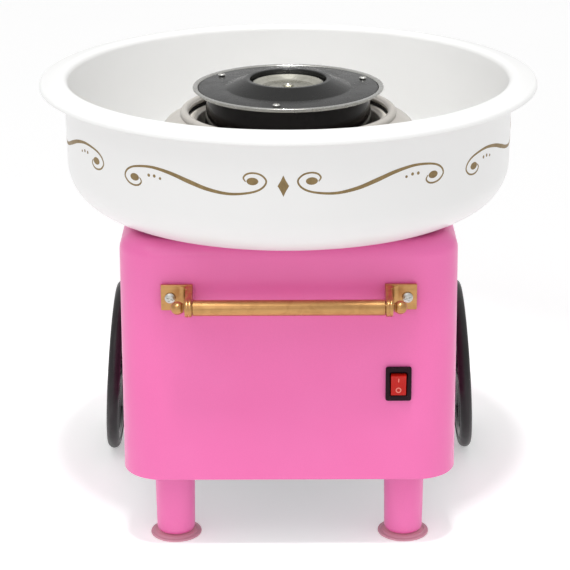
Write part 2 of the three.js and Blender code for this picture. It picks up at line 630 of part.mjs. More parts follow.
SIDES.forEach(({ side, sign }) => {
  const corner = new THREE.Group();
  corner.position.set(sign * WHEEL.x, WHEEL.y, wheelHeight);
  corner.rotation.y = sign * THREE.MathUtils.degToRad(90 - WHEEL.camber);
  machine.add(corner);
  add(corner, `${side}_axle_stub`, axleStub(), 0xb0b0b4, 0.35, 1);
  add(corner, `${side}_tyre`, tyre(), 0x1c1c1c, 0.5, 0);
  add(corner, `${side}_spoked_wheel`, spokedWheel(), 0x1a1a1a, 0.3, 0.1);
  add(corner, `${side}_hub_cap`, hubCap(), 0x1a1a1a, 0.25, 0.1);
});

export default machine;
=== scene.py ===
import json
import math

import bmesh
import bpy
from mathutils import Matrix, Quaternion, Vector

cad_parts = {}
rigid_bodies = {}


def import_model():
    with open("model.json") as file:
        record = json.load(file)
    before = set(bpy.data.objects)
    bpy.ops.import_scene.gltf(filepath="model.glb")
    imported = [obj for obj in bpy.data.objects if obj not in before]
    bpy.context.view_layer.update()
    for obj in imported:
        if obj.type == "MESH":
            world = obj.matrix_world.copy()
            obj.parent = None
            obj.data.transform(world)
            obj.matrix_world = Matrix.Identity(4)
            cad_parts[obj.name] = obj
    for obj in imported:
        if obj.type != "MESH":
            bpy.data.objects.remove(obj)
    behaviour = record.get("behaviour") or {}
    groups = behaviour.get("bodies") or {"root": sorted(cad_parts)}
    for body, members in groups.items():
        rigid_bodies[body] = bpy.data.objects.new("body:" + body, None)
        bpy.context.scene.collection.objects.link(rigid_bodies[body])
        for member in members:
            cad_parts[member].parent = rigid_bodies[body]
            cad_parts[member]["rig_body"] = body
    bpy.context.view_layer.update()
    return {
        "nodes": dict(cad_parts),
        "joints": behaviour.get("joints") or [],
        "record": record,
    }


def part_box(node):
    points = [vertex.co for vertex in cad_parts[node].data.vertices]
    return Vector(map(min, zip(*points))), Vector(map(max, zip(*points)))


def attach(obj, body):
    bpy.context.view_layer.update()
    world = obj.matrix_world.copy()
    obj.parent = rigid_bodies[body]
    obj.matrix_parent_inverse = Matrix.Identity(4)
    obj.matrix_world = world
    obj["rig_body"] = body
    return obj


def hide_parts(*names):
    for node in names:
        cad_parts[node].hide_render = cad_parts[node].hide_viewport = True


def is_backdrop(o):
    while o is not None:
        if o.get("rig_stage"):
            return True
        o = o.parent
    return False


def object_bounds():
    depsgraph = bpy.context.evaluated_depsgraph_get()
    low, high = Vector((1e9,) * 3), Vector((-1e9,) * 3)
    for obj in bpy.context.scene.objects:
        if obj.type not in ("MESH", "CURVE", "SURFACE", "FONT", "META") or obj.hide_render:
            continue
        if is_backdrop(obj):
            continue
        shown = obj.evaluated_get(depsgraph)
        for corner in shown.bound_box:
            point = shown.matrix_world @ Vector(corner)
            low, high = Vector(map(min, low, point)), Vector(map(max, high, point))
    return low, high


# The looks of a table-top cotton candy machine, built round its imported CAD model.
# Shapes are worked out in millimetres and scaled to metres as each piece is made.

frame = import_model()

MM = 0.001
SIDES = (("left", -1), ("right", 1))
# Filled by plastic() and metal(), by the record's slots.
MATERIALS = {}


def extent(node):
    """A CAD node's lowest and highest corners, in millimetres."""
    low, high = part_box(node)
    return low / MM, high / MM


def middle(node):
    low, high = extent(node)
    return (low + high) / 2


def srgb(red, green, blue):
    """A colour as it is seen, 0 to 255, as the linear RGBA that a shader takes."""
    def linear(value):
        value /= 255
        return value / 12.92 if value < 0.04045 else ((value + 0.055) / 1.055) ** 2.4
    return (linear(red), linear(green), linear(blue), 1)


# ---- material building blocks

# How many millimetres across the marks are that the materials share.
COLOUR_DRIFT = 45
SCUFFED_AREA = 30
GLOSS_SMEAR = 22
DUST_PATCH = 14
UNEVEN_GLOSS = 12
MOULDING_WAVE = 9
STAIN = 7
SHALLOW_DENT = 3.5


class Recipe:
    """One procedural material, with short calls for the nodes that all of them use."""

    def __init__(self, name):
        self.material = bpy.data.materials.new(name)
        self.material.use_nodes = True
        self.tree = self.material.node_tree
        self.shader = self.tree.nodes["Principled BSDF"]
        self.place = self.node("ShaderNodeTexCoord").outputs["Object"]

    def node(self, kind, **settings):
        node = self.tree.nodes.new(kind)
        for key, value in settings.items():
            setattr(node, key, value)
        return node

    def feed(self, socket, value):
        if isinstance(value, bpy.types.NodeSocket):
            self.tree.links.new(value, socket)
        else:
            socket.default_value = value

    def stretched(self, stretch):
        """Object coordinates in metres, squeezed along each axis by these factors."""
        mapping = self.node("ShaderNodeMapping")
        self.feed(mapping.inputs["Vector"], self.place)
        mapping.inputs["Scale"].default_value = stretch
        return mapping.outputs["Vector"]

    def distance(self):
        """Distance from the vertical axis, in metres."""
        flat = self.node("ShaderNodeVectorMath", operation="MULTIPLY")
        self.feed(flat.inputs[0], self.place)
        flat.inputs[1].default_value = (1, 1, 0)
        length = self.node("ShaderNodeVectorMath", operation="LENGTH")
        self.feed(length.inputs[0], flat.outputs["Vector"])
        return length.outputs["Value"]

    def radius(self):
        """The same distance as a coordinate, for marks that run in rings."""
        line = self.node("ShaderNodeCombineXYZ")
        self.feed(line.inputs["X"], self.distance())
        return line.outputs["Vector"]

    def noise(self, size_mm, detail=3, distortion=0.0, where=None):
        """Noise whose patches are about this many millimetres across, from 0 to 1."""
        node = self.node("ShaderNodeTexNoise")
        self.feed(node.inputs["Vector"], where or self.place)
        node.inputs["Scale"].default_value = 1 / (size_mm * MM)
        node.inputs["Detail"].default_value = detail
        node.inputs["Distortion"].default_value = distortion
        return node.outputs["Fac"]

    def remap(self, value, low, high, to_low, to_high):
        node = self.node("ShaderNodeMapRange")
        self.feed(node.inputs["Value"], value)
        for name, number in (("From Min", low), ("From Max", high), ("To Min", to_low), ("To Max", to_high)):
            node.inputs[name].default_value = number
        return node.outputs["Result"]

    def add(self, a, b):
        node = self.node("ShaderNodeMath", operation="ADD")
        self.feed(node.inputs[0], a)
        self.feed(node.inputs[1], b)
        return node.outputs["Value"]

    def times(self, a, b):
        node = self.node("ShaderNodeMath", operation="MULTIPLY")
        self.feed(node.inputs[0], a)
        self.feed(node.inputs[1], b)
        return node.outputs["Value"]

    def blend(self, share, a, b):
        node = self.node("ShaderNodeMix", data_type="RGBA")
        self.feed(node.inputs["Factor"], share)
        self.feed(node.inputs["A"], a)
        self.feed(node.inputs["B"], b)
        return node.outputs["Result"]

    def relief(self, height, depth_mm, below=None):
        """A bump whose full height is this many millimetres, on top of another one."""
        node = self.node("ShaderNodeBump")
        node.inputs["Strength"].default_value = 1
        node.inputs["Distance"].default_value = depth_mm * MM
        self.feed(node.inputs["Height"], height)
        if below is not None:
            self.feed(node.inputs["Normal"], below)
        return node.outputs["Normal"]

    def hairlines(self, along):
        """Sparse fine scratches along an axis, 1 on a scratch and 0 elsewhere."""
        squeeze = [1.0 if axis == along else 26.0 for axis in "XYZ"]
        lines = self.noise(9, 2, 0.4, self.stretched(squeeze))
        return self.remap(lines, 0.66, 0.72, 0, 1)

    def set(self, **values):
        """Numbers or sockets for the shader's own inputs, by name."""
        for name, value in values.items():
            self.feed(self.shader.inputs[name.replace("_", " ")], value)


def plastic(slot, colour, tint, roughness, grain=0.6, specks=0.16, relief=0.006, wave=0.0, scuffs=0.05,
            dust=0.0, heart=None, **constants):
    """A moulded plastic or rubber: slow colour drift, fine grain, smeared gloss, scuffs and a little dust.
    A heart is a radius about the vertical axis, in metres, and the colour of what lies within it."""
    recipe = Recipe(slot)
    drift = recipe.remap(recipe.noise(COLOUR_DRIFT, 2, 0.2), 0.2, 0.8, 0, 1)
    speck = recipe.remap(recipe.noise(grain, 2), 0.3, 0.7, 0, specks)
    base = recipe.blend(drift, colour, tint)
    base = recipe.blend(speck, base, [part * 0.8 for part in colour[:3]] + [1])
    scratches = recipe.add(recipe.hairlines("X"), recipe.hairlines("Z"))
    marks = recipe.times(scratches, recipe.remap(recipe.noise(SCUFFED_AREA, 2), 0.5, 0.62, 0, scuffs))
    settled = recipe.remap(recipe.noise(DUST_PATCH, 6, 0.8), 0.5, 0.75, 0, dust)
    pale = [min(1, part * 0.5 + 0.42) for part in colour[:3]] + [1]
    base = recipe.blend(recipe.add(marks, settled), base, pale)
    if heart:
        reach, heart_colour = heart
        within = recipe.remap(recipe.distance(), reach, reach + 0.3 * MM, 1, 0)
        base = recipe.blend(within, base, heart_colour)
    smear = recipe.remap(recipe.noise(GLOSS_SMEAR, 4, 1.6), 0.3, 0.7, *roughness)
    gloss = recipe.add(smear, marks)
    normal = recipe.relief(recipe.noise(grain, 2), relief)
    if wave:
        normal = recipe.relief(recipe.noise(MOULDING_WAVE, 1), wave, normal)
    normal = recipe.relief(scratches, -scuffs * 0.02, normal)
    recipe.set(Base_Color=base, Roughness=gloss, Normal=normal, **constants)
    MATERIALS[slot] = recipe.material


def metal(slot, colour, stain, roughness, lines="Z", line_depth=0.004, stains=0.5, metallic=1.0, **constants):
    """A bare or coated metal: drawn, brushed or turned lines, stained patches and uneven gloss."""
    recipe = Recipe(slot)
    if lines == "rings":
        fine = recipe.noise(0.25, 2, 0, recipe.radius())
        broad = recipe.noise(2.2, 1, 0, recipe.radius())
    else:
        squeeze = [0.03 if axis == lines else 1.0 for axis in "XYZ"]
        fine = recipe.noise(0.35, 3, 0, recipe.stretched(squeeze))
        broad = recipe.noise(2.5, 1, 0, recipe.stretched(squeeze))
    patches = recipe.remap(recipe.noise(STAIN, 6, 1.2), 0.45, 0.7, 0, stains)
    shade = recipe.remap(recipe.add(fine, broad), 0.6, 1.4, 0, 0.35)
    base = recipe.blend(patches, colour, stain)
    base = recipe.blend(shade, base, [part * 0.55 for part in stain[:3]] + [1])
    uneven = recipe.remap(recipe.noise(UNEVEN_GLOSS, 5, 0.8), 0.3, 0.7, *roughness)
    gloss = recipe.add(uneven, recipe.times(patches, 0.12))
    normal = recipe.relief(fine, line_depth)
    normal = recipe.relief(recipe.noise(SHALLOW_DENT, 2), line_depth * 2, normal)
    recipe.set(Base_Color=base, Roughness=gloss, Normal=normal, Metallic=metallic, **constants)
    MATERIALS[slot] = recipe.material


# ---- materials, one for each slot of the record

plastic("body_plastic", srgb(242, 110, 178), srgb(244, 116, 183), (0.30, 0.40),
        wave=0.008, scuffs=0.05, Specular_IOR_Level=0.5, Coat_Weight=0.15, Coat_Roughness=0.25)
plastic("bowl_plastic", srgb(240, 240, 239), srgb(238, 238, 237), (0.28, 0.31), specks=0.03, relief=0.001,
        wave=0.002, scuffs=0.01, Specular_IOR_Level=0.4, Coat_Weight=0.1, Coat_Roughness=0.2)
metal("gold_print", srgb(150, 127, 84), srgb(122, 100, 64), (0.42, 0.55), line_depth=0.003, metallic=0.35)
plastic("foot_pad", srgb(232, 166, 186), srgb(214, 148, 168), (0.25, 0.4),
        grain=0.9, relief=0.01, dust=0.1, Transmission_Weight=0.3, IOR=1.45)
metal("satin_brass", srgb(208, 160, 104), srgb(170, 122, 76), (0.26, 0.36), lines="X", line_depth=0.003,
      stains=0.4)
metal("screw_steel", srgb(222, 222, 218), srgb(170, 166, 156), (0.34, 0.46), lines="rings", stains=0.3)
metal("zinc_sheet", srgb(178, 180, 184), srgb(140, 142, 148), (0.35, 0.5), lines="X", stains=0.6)
metal("motor_steel", srgb(170, 170, 174), srgb(120, 114, 106), (0.28, 0.42), lines="rings", stains=0.4)
plastic("black_plastic", srgb(30, 10, 20), srgb(36, 14, 24), (0.38, 0.52),
        grain=0.4, relief=0.012, scuffs=0.05, dust=0.01, Specular_IOR_Level=0.14)
plastic("ivory_plastic", srgb(226, 218, 196), srgb(214, 204, 178), (0.4, 0.55), relief=0.012)
plastic("switch_red", srgb(212, 34, 24), srgb(200, 26, 18), (0.16, 0.26),
        scuffs=0.04, Specular_IOR_Level=0.2, Transmission_Weight=0.1, Coat_Weight=0.05, Coat_Roughness=0.12)
plastic("switch_mark", srgb(244, 150, 136), srgb(236, 130, 116), (0.35, 0.5))
plastic("black_rubber", srgb(26, 25, 25), srgb(36, 34, 33), (0.65, 0.85), grain=0.7, relief=0.03, dust=0.1)
plastic("grey_plastic", srgb(178, 174, 168), srgb(166, 161, 154), (0.32, 0.46),
        relief=0.012, wave=0.01, scuffs=0.1, dust=0.1, heart=(0.0606, srgb(238, 232, 222)))
plastic("heater_ceramic", srgb(220, 215, 203), srgb(196, 186, 168), (0.7, 0.9), grain=1.2, relief=0.04)
metal("heater_steel", srgb(116, 98, 84), srgb(72, 66, 76), (0.35, 0.5), lines="rings", stains=0.8)
metal("head_cover", srgb(17, 17, 16), srgb(26, 26, 25), (0.2, 0.3),
      lines="rings", line_depth=0.004, stains=0.35, metallic=0.0, Specular_IOR_Level=0.28)
metal("head_aluminium", srgb(202, 202, 198), srgb(160, 156, 148), (0.18, 0.3), lines="rings", stains=0.3)
plastic("head_black", srgb(10, 9, 9), srgb(18, 12, 11), (0.10, 0.22),
        scuffs=0.06, wave=0.02, Specular_IOR_Level=0.22)
metal("dish_metal", srgb(212, 210, 198), srgb(156, 152, 138), (0.2, 0.34), lines="rings", stains=0.4)
plastic("tyre_black", srgb(26, 24, 26), srgb(34, 31, 33), (0.32, 0.48),
        grain=0.8, relief=0.015, scuffs=0.08, dust=0.03, Specular_IOR_Level=0.4)
plastic("wheel_black", srgb(26, 24, 26), srgb(32, 30, 32), (0.24, 0.36), wave=0.01, scuffs=0.06)


# ---- shapes in millimetres

def turn(vector, angle):
    return Matrix.Rotation(angle, 2) @ vector


def soften(corners, steps=6, loop=True):
    """An outline through corners (x, y) or (x, y, radius), where each radius becomes an arc."""
    points = []
    for i, corner in enumerate(corners):
        here = Vector(corner[:2])
        radius = corner[2] if len(corner) > 2 else 0
        if not radius or (not loop and i in (0, len(corners) - 1)):
            points.append(here)
            continue
        before = (Vector(corners[i - 1][:2]) - here).normalized()
        after = (Vector(corners[(i + 1) % len(corners)][:2]) - here).normalized()
        half = before.angle(after) / 2
        centre = here + (before + after).normalized() * radius / math.sin(half)
        start = here + before * radius / math.tan(half) - centre
        end = here + after * radius / math.tan(half) - centre
        sweep = math.atan2(start.x * end.y - start.y * end.x, start.dot(end))
        points += [centre + turn(start, sweep * k / steps) for k in range(steps + 1)]
    return points


def arc(x, y, radius, start, end, steps):
    """Points of an arc about (x, y), by degrees."""
    angles = [math.radians(start + (end - start) * k / steps) for k in range(steps + 1)]
    return [Vector((x + radius * math.cos(a), y + radius * math.sin(a))) for a in angles]


def skin(rings, closed):
    """A closed mesh through rings of points. A ring of one point is a pole. With closed, the last ring joins
    the first, and otherwise the end rings are filled."""
    bm = bmesh.new()
    loops = [[bm.verts.new(point) for point in ring] for ring in rings]
    count = max(len(ring) for ring in rings)
    pairs = list(zip(loops, loops[1:]))
    if closed:
        pairs.append((loops[-1], loops[0]))
    for a, b in pairs:
        for i in range(count):
            j = (i + 1) % count
            corners = dict.fromkeys((a[i % len(a)], a[j % len(a)], b[j % len(b)], b[i % len(b)]))
            bm.faces.new(corners)
    if not closed:
        for ring in (loops[0], loops[-1]):
            if len(ring) > 2:
                bm.faces.new(ring)
    bmesh.ops.recalc_face_normals(bm, faces=bm.faces)
    return bm


def lathe(profile, segments=96):
    """A body turned about Z from a profile of (radius, height), which closes on itself or runs from the axis
    back to the axis."""
    angles = [2 * math.pi * i / segments for i in range(segments)]
    rings = []
    for radius, height in profile:
        on_axis = radius < 1e-6
        rings.append([(0, 0, height)] if on_axis else
                     [(radius * math.cos(a), radius * math.sin(a), height) for a in angles])
    return skin(rings, closed=len(rings[0]) > 1)


def prism(outline, low, high):
    """An outline in X and Y carried from one height to another."""
    return skin([[(x, y, z) for x, y in outline] for z in (low, high)], closed=False)


def block(width, depth, height, centre):
    """A plain box, for cutting and joining."""
    x, y = width / 2, depth / 2
    outline = [(-x, -y), (x, -y), (x, y), (-x, y)]
    return placed(prism(outline, -height / 2, height / 2), Matrix.Translation(centre))


def rectangle(width, depth, corner, steps=8):
    """A rounded rectangle's outline about the origin."""
    x, y = width / 2, depth / 2
    return soften([(x, -y, corner), (x, y, corner), (-x, y, corner), (-x, -y, corner)], steps)


def placed(bm, matrix):
    bmesh.ops.transform(bm, matrix=matrix, verts=bm.verts)
    if matrix.determinant() < 0:
        bmesh.ops.reverse_faces(bm, faces=bm.faces)
    return bm


def bevelled(bm, width, segments=2, angle=30):
    """Rounds every edge that is sharper than the angle."""
    limit = math.radians(angle)
    sharp = [edge for edge in bm.edges if edge.is_manifold and edge.calc_face_angle() > limit]
    bmesh.ops.bevel(bm, geom=sharp, offset=width, segments=segments, affect="EDGES", profile=0.6)
    return bm


def mesh_of(bm, name="scratch"):
    mesh = bpy.data.meshes.new(name)
    bm.to_mesh(mesh)
    bm.free()
    return mesh


def in_scene(name, data):
    made = bpy.data.objects.new(name, data)
    bpy.context.scene.collection.objects.link(made)
    return made


def carved(bm, tools, operation="DIFFERENCE"):
    """The mesh with the tools cut from it, or joined to it with operation UNION."""
    target = in_scene("scratch", mesh_of(bm))
    cutters = [in_scene("scratch", mesh_of(tool)) for tool in tools]
    for cutter in cutters:
        modifier = target.modifiers.new("carve", "BOOLEAN")
        modifier.operation = operation
        modifier.solver = "EXACT"
        modifier.object = cutter
    shaped = target.evaluated_get(bpy.context.evaluated_depsgraph_get())
    result = bmesh.new()
    result.from_mesh(shaped.to_mesh())
    for helper in (target, *cutters):
        bpy.data.objects.remove(helper)
    bmesh.ops.remove_doubles(result, verts=result.verts, dist=1e-4)
    return result


def piece(name, bm, slot, body, replaces=(), sharp=32):
    """A finished piece, shaded smooth between edges sharper than this many degrees."""
    bmesh.ops.scale(bm, vec=(MM, MM, MM), verts=bm.verts)
    mesh = mesh_of(bm, name)
    mesh.shade_smooth()
    mesh.set_sharp_from_angle(angle=math.radians(sharp))
    mesh.materials.append(MATERIALS[slot])
    made = in_scene(name, mesh)
    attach(made, body)
    if replaces:
        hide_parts(*replaces)
    return made


def stand_in(node, bm, sharp=32):
    """The finished piece that is shown in place of one CAD node, on its body and with its slot."""
    row = next(part for part in frame["record"]["subparts"] if part["node"] == node)
    body = frame["nodes"][node]["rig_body"]
    return piece(f"{node}_fine", bm, row["material_slot"], body, [node], sharp)


# These turn a shape's +Z to the front and to the right, and the last lays an outline drawn in X and Y
# into Y and Z, so that its prism runs along X.
FACING_FRONT = Matrix.Rotation(math.pi / 2, 4, "X")
ALONG_X = Matrix.Rotation(math.pi / 2, 4, "Y")
OUTLINE_IN_YZ = Matrix(((0, 0, 1, 0), (1, 0, 0, 0), (0, 1, 0, 0), (0, 0, 0, 1)))

# Long enough for a cutter to pass right through a wall.
THROUGH = 12


def drill(radius, length, centre, matrix=Matrix()):
    """A round cutter about Z, turned by the matrix and then moved to the centre."""
    rod = lathe([(0, -length / 2), (radius, -length / 2), (radius, length / 2), (0, length / 2)], 32)
    return placed(rod, Matrix.Translation(centre) @ matrix)


def cross_screw(head_radius, head_height, shank_radius, length):
    """A pan-head screw with a cross recess, its head up and the underside of the head at height 0."""
    profile = soften([(0, -length), (shank_radius, -length, 0.3), (shank_radius, 0), (head_radius, 0, 0.15),
                      (head_radius, head_height * 0.55, head_height * 0.35),
                      (head_radius * 0.62, head_height, 1.2), (0, head_height)], 5, loop=False)
    head = lathe(profile, 48)
    slot_width = head_radius * 0.3
    slot_length = head_radius * 1.3
    centre = (0, 0, head_height * 1.05)
    slots = [block(slot_length, slot_width, head_height, centre),
             block(slot_width, slot_length, head_height, centre)]
    return carved(head, slots)


# ---- cart body

body_low, body_high = extent("body_shell")
body_width = body_high.x - body_low.x
body_depth = body_high.y - body_low.y
WALL = 2.5
CORNER = 24
SHOULDER = 10
DRAFT = 0.9
AIR_HOLE = 30
GLAND_HOLE = 7
SCREW_HOLE = 2.1
AXLE_HOLE = 4.5
SWITCH_LAP = 1


def body_ring(inset, height):
    """The body's outline, drawn in by the inset, at a height."""
    outline = rectangle(body_width - 2 * inset, body_depth - 2 * inset, max(CORNER - inset, 0.5), 14)
    return [(x, y, height) for x, y in outline]


def body_top(height):
    """Rings across the top, from the shoulder to the round hole in its middle."""
    outer = [Vector(point) for point in body_ring(CORNER - 1, height)]
    hole = [Vector((point.x, point.y, 0)).normalized() * AIR_HOLE + Vector((0, 0, height)) for point in outer]
    return [[a.lerp(b, share) for a, b in zip(outer, hole)] for share in (0, 0.4, 0.75, 1)]


def cart_body():
    """A thin shell, open below, with its holes for air, switch, gland, brackets and axles."""
    top, bottom = body_high.z, body_low.z
    outside = soften([(WALL, bottom), (0, bottom, 1.2), (DRAFT, top, SHOULDER), (CORNER - 1, top)],
                     9, loop=False)
    inside = soften([(CORNER - 1, top - WALL), (DRAFT + WALL, top - WALL, SHOULDER - WALL),
                     (WALL, bottom + 1)], 6, loop=False)
    rings = [body_ring(inset, height) for inset, height in outside[:-1]]
    rings += body_top(top)
    rings += list(reversed(body_top(top - WALL)))
    rings += [body_ring(inset, height) for inset, height in inside[1:]]
    shell = skin(rings, closed=True)
    switch = middle("switch_housing")
    switch_low, switch_high = extent("switch_housing")
    cut_width = switch_high.x - switch_low.x - 2 * SWITCH_LAP
    cut_height = switch_high.z - switch_low.z - 2 * SWITCH_LAP
    gland = middle("mains_inlet_gland")
    front, back = body_low.y, body_high.y
    tools = [block(cut_width, THROUGH, cut_height, (switch.x, front, switch.z)),
             drill(GLAND_HOLE, THROUGH, (gland.x, back, gland.z), FACING_FRONT)]
    for side, sign in SIDES:
        screw = middle(f"{side}_bracket_screw")
        axle = middle(f"{side}_axle_stub")
        tools.append(drill(SCREW_HOLE, THROUGH, (screw.x, front, screw.z), FACING_FRONT))
        tools.append(drill(AXLE_HOLE, THROUGH, (sign * body_width / 2, axle.y, axle.z), ALONG_X))
    return carved(shell, tools)


stand_in("body_shell", cart_body(), sharp=25)


# ---- front legs and their pads

def leg(node):
    """A slightly tapered post with a well rounded foot."""
    low, high = extent(node)
    radius = (high.x - low.x) / 2
    taper = 0.6
    profile = soften([(0, low.z), (radius - taper, low.z, 3), (radius, high.z, 0.4), (0, high.z)],
                     6, loop=False)
    return placed(lathe(profile, 64), Matrix.Translation((middle(node).x, middle(node).y, 0)))


def foot_pad(node):
    """A soft disc with a thin turned-up edge and a ring pressed into its underside."""
    low, high = extent(node)
    radius = (high.x - low.x) / 2
    groove = radius - 2.6
    profile = soften([(0, 0), (groove - 0.4, 0, 0.2), (groove, 0.4, 0.2), (groove + 0.4, 0, 0.2),
                      (radius, 0, 0.4), (radius, 1.3, 0.6), (radius - 1.6, 1.5, 0.5), (groove, high.z, 0.4),
                      (0, high.z)], 4, loop=False)
    return placed(lathe(profile, 72), Matrix.Translation((middle(node).x, middle(node).y, 0)))


for side, _ in SIDES:
    stand_in(f"front_{side}_leg", leg(f"front_{side}_leg"))
    stand_in(f"front_{side}_foot_pad", foot_pad(f"front_{side}_foot_pad"))


# ---- push bar, brackets and finials

bar_low, bar_high = extent("push_bar")
bar_centre = (bar_low + bar_high) / 2
BAR_RADIUS = (bar_high.z - bar_low.z) / 2
BAR_HALF = 55.1
SPIGOT = 3


def along_bar(bm, x=0):
    """A body turned about Z, laid on the bar's axis with its foot at x."""
    return placed(bm, Matrix.Translation((x, bar_centre.y, bar_centre.z)) @ ALONG_X)


def push_bar():
    """A round bar with a thinner spigot at each end."""
    end = bar_high.x
    half = [(BAR_RADIUS, BAR_HALF, 0.5), (SPIGOT, BAR_HALF), (SPIGOT, end, 0.3), (0, end)]
    profile = soften([(r, -x, *rest) for r, x, *rest in reversed(half)] + half, 4, loop=False)
    return along_bar(lathe(profile, 48))


stand_in("push_bar", push_bar())


def bracket():
    """The right-hand bracket: a wall plate, an arm with a curved web, and a ribbed eye round the spigot."""
    low, high = extent("right_bar_bracket")
    screw = middle("right_bracket_screw")
    thickness, eye, arm_width = 2.6, 5.4, 4.1
    plate_back, plate_front = high.y, high.y - thickness
    plate_height = 15.5
    half = plate_height / 2
    height = high.z - half
    arm_side = low.x + arm_width
    plate = bevelled(block(high.x - low.x, thickness, plate_height,
                           ((low.x + high.x) / 2, plate_back - thickness / 2, height)), 0.7, 3)
    arm_outline = soften([(plate_front + 1, height - half), (bar_centre.y, bar_centre.z - eye + 0.2),
                          (bar_centre.y, bar_centre.z + eye - 0.2), (plate_front + 1, height + half)])
    arm = bevelled(placed(prism(arm_outline, low.x, arm_side), OUTLINE_IN_YZ), 0.5, 2)
    web = 4.0
    curve = arc(arm_side + web, plate_front - web, web, 90, 180, 6)
    web_outline = [(arm_side - 1, plate_front + 1), (arm_side + web, plate_front + 1), *curve,
                   (arm_side - 1, plate_front - web)]
    fillet = prism(web_outline, height - half + 0.8, height + half - 0.8)
    valley = eye - 0.35
    collar_profile = soften([(0, 0), (valley, 0, 0.3), (eye, 0.9, 0.4), (eye, 1.6, 0.3), (valley, 2.05, 0.3),
                             (eye, 2.5, 0.3), (eye, 3.2, 0.4), (valley, arm_width, 0.3), (0, arm_width)],
                            3, loop=False)
    collar = along_bar(lathe(collar_profile, 48), low.x)
    joined = carved(plate, [arm, fillet, collar], "UNION")
    bore = drill(SPIGOT + 0.3, 20, (low.x, bar_centre.y, bar_centre.z), ALONG_X)
    hole = drill(1.9, 20, (screw.x, plate_front, screw.z), FACING_FRONT)
    return carved(joined, [bore, hole])


def finial():
    """A turned ball on a short neck, outside the right-hand bracket's eye."""
    low, high = extent("right_ball_finial")
    ball, neck = 3.9, 2.8
    centre = high.x - ball
    start = math.degrees(math.asin(neck / ball))
    sphere = arc(0, centre, ball, start - 90, 90, 20)[:-1]
    foot = soften([(0, low.x), (neck + 0.3, low.x, 0.25), (neck - 0.1, low.x + 0.5)], 3, loop=False)
    return along_bar(lathe([*foot, *sphere, Vector((0, high.x))], 48))


MIRROR_X = Matrix.Scale(-1, 4, (1, 0, 0))
SCREW_HEAD = 3.1
SCREW_HEAD_HEIGHT = 1.6
SCREW_SHANK = 1.6

for side, sign in SIDES:
    hand = MIRROR_X if sign < 0 else Matrix()
    stand_in(f"{side}_bar_bracket", placed(bracket(), hand))
    stand_in(f"{side}_ball_finial", placed(finial(), hand))
    screw_low, screw_high = extent(f"{side}_bracket_screw")
    screw_centre = middle(f"{side}_bracket_screw")
    length = screw_high.y - screw_low.y - SCREW_HEAD_HEIGHT
    screw = cross_screw(SCREW_HEAD, SCREW_HEAD_HEIGHT, SCREW_SHANK, length)
    turned = Matrix.Rotation(math.radians(20 * sign), 4, "Z")
    seat = Matrix.Translation((screw_centre.x, screw_low.y + SCREW_HEAD_HEIGHT, screw_centre.z))
    stand_in(f"{side}_bracket_screw", placed(screw, seat @ FACING_FRONT @ turned))


# ---- rocker switch

switch_low, switch_high = extent("switch_housing")
switch_width = switch_high.x - switch_low.x
switch_height = switch_high.z - switch_low.z
switch_centre = Vector(((switch_low.x + switch_high.x) / 2, switch_low.y, (switch_low.z + switch_high.z) / 2))
WINDOW = (10.0, 14.6)
PROUD = 1.8
BEZEL_ROUND = 0.9
PIVOT = 3
ROCKER_TILT = math.radians(8)
ROCKER_HALF = WINDOW[1] / 2 - 0.8
ROCKER_RISE = ROCKER_HALF * math.tan(ROCKER_TILT)
ROCKER_DISH = 0.25


def switch_ring(width, height, corner, depth):
    """A rounded rectangle facing -Y at this depth behind the bezel's face."""
    return [(switch_centre.x + x, switch_centre.y + depth, switch_centre.z + z)
            for x, z in rectangle(width, height, corner, 5)]


def switch_housing():
    """A box behind the wall, a rounded bezel on it, and a deep window for the rocker."""
    width, height = switch_width, switch_height
    window_width, window_height = WINDOW
    back = switch_high.y - switch_low.y
    stations = [(width - 3, height - 3, 1, back), (width - 3, height - 3, 1, PROUD),
                (width, height, 1.5, PROUD), (width, height, 1.5, BEZEL_ROUND)]
    for quarter in (1, 2, 3, 4):
        a = math.radians(22.5 * quarter)
        inset = 1.6 * (1 - math.cos(a))
        depth = BEZEL_ROUND - BEZEL_ROUND * math.sin(a)
        stations.append((width - inset, height - inset, 1.5 - 0.4 * math.sin(a), depth))
    stations += [(window_width + 1.2, window_height + 1.2, 1.2, 0),
                 (window_width + 0.3, window_height + 0.3, 1, 0.3),
                 (window_width, window_height, 0.8, 0.9), (window_width, window_height, 0.8, 9)]
    return skin([switch_ring(*station) for station in stations], closed=False)


def rocker_frame():
    """The rocker's own frame: X across, Y up the face and Z out of it, about its pivot."""
    pivot = Vector((switch_centre.x, switch_centre.y + PIVOT, switch_centre.z))
    return Matrix.Translation(pivot) @ Matrix.Rotation(ROCKER_TILT, 4, "X") @ FACING_FRONT


def rocker_height(share):
    """The height of the rocker's face over its pivot, at this share of the way from its middle to an end."""
    return PIVOT + ROCKER_RISE * share - ROCKER_DISH * math.sin(math.pi * share)


def rocker():
    """A bar with two slightly dished faces that rise to its ends, and a keel at its pivot."""
    width = WINDOW[0] - 1
    shares = [1 - k / 10 for k in range(21)]
    face = [(ROCKER_HALF * share, rocker_height(abs(share))) for share in shares]
    edge = PIVOT + ROCKER_RISE - 0.1
    outline = [(ROCKER_HALF - 0.01, edge), *face[1:-1], (0.01 - ROCKER_HALF, edge), (-ROCKER_HALF, 0),
               (0, -PIVOT), (ROCKER_HALF, 0)]
    bar = prism(outline, -width / 2, width / 2)
    return placed(bevelled(placed(bar, OUTLINE_IN_YZ), 0.35, 2, 40), rocker_frame())


def mark_place(y):
    """Where a mark lies flat on the rocker's face, this far up from its middle."""
    height = rocker_height(abs(y) / ROCKER_HALF)
    slope = math.atan2(math.copysign(ROCKER_RISE, y), ROCKER_HALF)
    return rocker_frame() @ Matrix.Translation((0, y, height)) @ Matrix.Rotation(slope, 4, "X")


